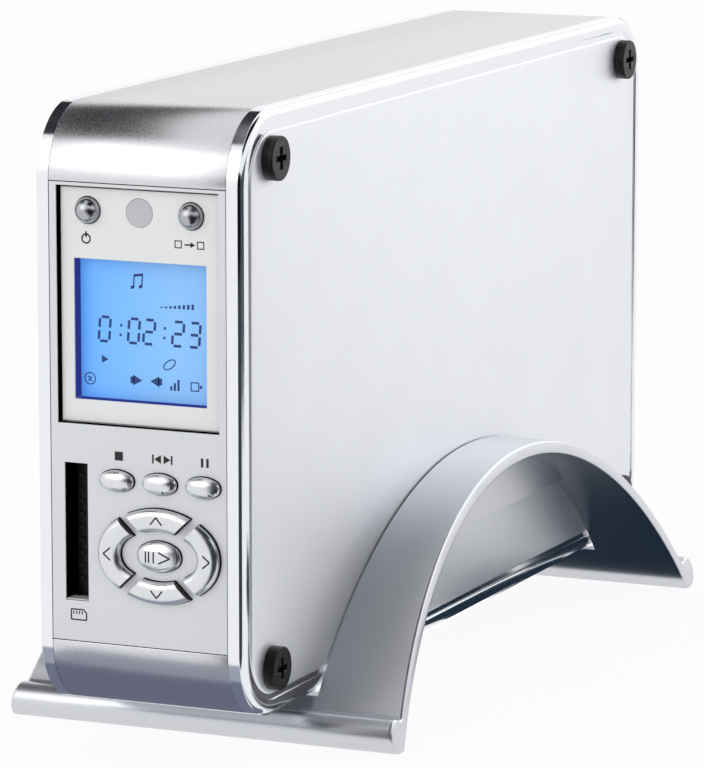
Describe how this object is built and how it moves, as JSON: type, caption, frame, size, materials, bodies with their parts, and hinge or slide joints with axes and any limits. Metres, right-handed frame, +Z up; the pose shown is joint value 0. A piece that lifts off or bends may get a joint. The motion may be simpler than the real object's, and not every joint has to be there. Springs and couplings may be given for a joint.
{
  "type": "desktop media player with hard drive tray",
  "caption": "Slim upright media player with a display, round keys and a card slot, holding a hard drive on an inner tray and standing in a bent arch stand.",
  "frame": {"origin": "centre of the footprint, on the surface that the stand rests on", "axes": "+Z up, -Y towards the front face with the display and keys, +X to the right seen from the front"},
  "size_m": [0.083, 0.2218, 0.1253],
  "materials": {
    "satin_silver": "satin",
    "soft_pad": "matte",
    "silver_cover": "satin",
    "plated_frame": "polished",
    "brushed_panel": "satin",
    "black_screw": "satin",
    "white_nylon": "satin",
    "silver_fascia": "satin",
    "display_plate": "satin",
    "display_glass": "gloss",
    "grey_window": "gloss",
    "silver_key": "satin",
    "black_plastic": "matte",
    "green_board": "satin",
    "zinc_steel": "satin",
    "drive_casting": "matte",
    "black_aluminium": "matte",
    "grey_ribbon": "matte",
    "dark_rear": "matte",
    "phono_metal": "polished"
  },
  "bodies": {
    "stand": {"stand": "satin_silver", "seat_pads": "soft_pad"},
    "player": {"top_cover": "silver_cover", "bottom_cover": "silver_cover", "side_frame_left": "plated_frame", "side_frame_right": "plated_frame", "side_panel_left": "brushed_panel", "side_panel_right": "brushed_panel", "foot_screws_left": "black_screw", "foot_screws_right": "black_screw", "front_fascia": "silver_fascia", "display_plate": "display_plate", "lcd_module": "display_glass", "ir_window": "grey_window", "push_switches": "black_plastic", "ir_receiver": "black_plastic", "processor": "black_plastic", "memory_chips": "black_plastic", "ribbon_header": "black_plastic", "ribbon_plug": "black_plastic", "power_inlet": "black_plastic", "usb_socket": "black_plastic", "video_socket": "black_plastic", "main_board": "green_board", "front_board": "green_board", "drive_tray": "zinc_steel", "card_socket": "zinc_steel", "corner_pillars": "zinc_steel", "board_supports": "white_nylon", "hard_drive": "drive_casting", "heat_sink": "black_aluminium", "drive_ribbon": "grey_ribbon", "rear_panel": "dark_rear", "phono_sockets": "phono_metal"},
    "power_button": {"power_button": "silver_key"},
    "backup_button": {"backup_button": "silver_key"},
    "stop_button": {"stop_button": "silver_key"},
    "skip_button": {"skip_button": "silver_key"},
    "pause_button": {"pause_button": "silver_key"},
    "key_up": {"key_up": "silver_key"},
    "key_down": {"key_down": "silver_key"},
    "key_left": {"key_left": "silver_key"},
    "key_right": {"key_right": "silver_key"},
    "play_key": {"play_key": "silver_key"}
  },
  "joints": [
    {"name": "lift_out", "type": "slide", "parent": "stand", "child": "player", "axis": [0, 0, 1], "range_m": [0, 0.06]},
    {"name": "power_button_press", "type": "slide", "parent": "player", "child": "power_button", "axis": [0, 1, 0], "range_m": [0, 0.0005], "stiffness_N_per_m": 400},
    {"name": "backup_button_press", "type": "slide", "parent": "player", "child": "backup_button", "axis": [0, 1, 0], "range_m": [0, 0.0005], "stiffness_N_per_m": 400},
    {"name": "stop_button_press", "type": "slide", "parent": "player", "child": "stop_button", "axis": [0, 1, 0], "range_m": [0, 0.0005], "stiffness_N_per_m": 400},
    {"name": "skip_button_press", "type": "slide", "parent": "player", "child": "skip_button", "axis": [0, 1, 0], "range_m": [0, 0.0005], "stiffness_N_per_m": 400},
    {"name": "pause_button_press", "type": "slide", "parent": "player", "child": "pause_button", "axis": [0, 1, 0], "range_m": [0, 0.0005], "stiffness_N_per_m": 400},
    {"name": "key_up_press", "type": "slide", "parent": "player", "child": "key_up", "axis": [0, 1, 0], "range_m": [0, 0.0005], "stiffness_N_per_m": 400},
    {"name": "key_down_press", "type": "slide", "parent": "player", "child": "key_down", "axis": [0, 1, 0], "range_m": [0, 0.0005], "stiffness_N_per_m": 400},
    {"name": "key_left_press", "type": "slide", "parent": "player", "child": "key_left", "axis": [0, 1, 0], "range_m": [0, 0.0005], "stiffness_N_per_m": 400},
    {"name": "key_right_press", "type": "slide", "parent": "player", "child": "key_right", "axis": [0, 1, 0], "range_m": [0, 0.0005], "stiffness_N_per_m": 400},
    {"name": "play_key_press", "type": "slide", "parent": "player", "child": "play_key", "axis": [0, 1, 0], "range_m": [0, 0.0005], "stiffness_N_per_m": 400}
  ]
}
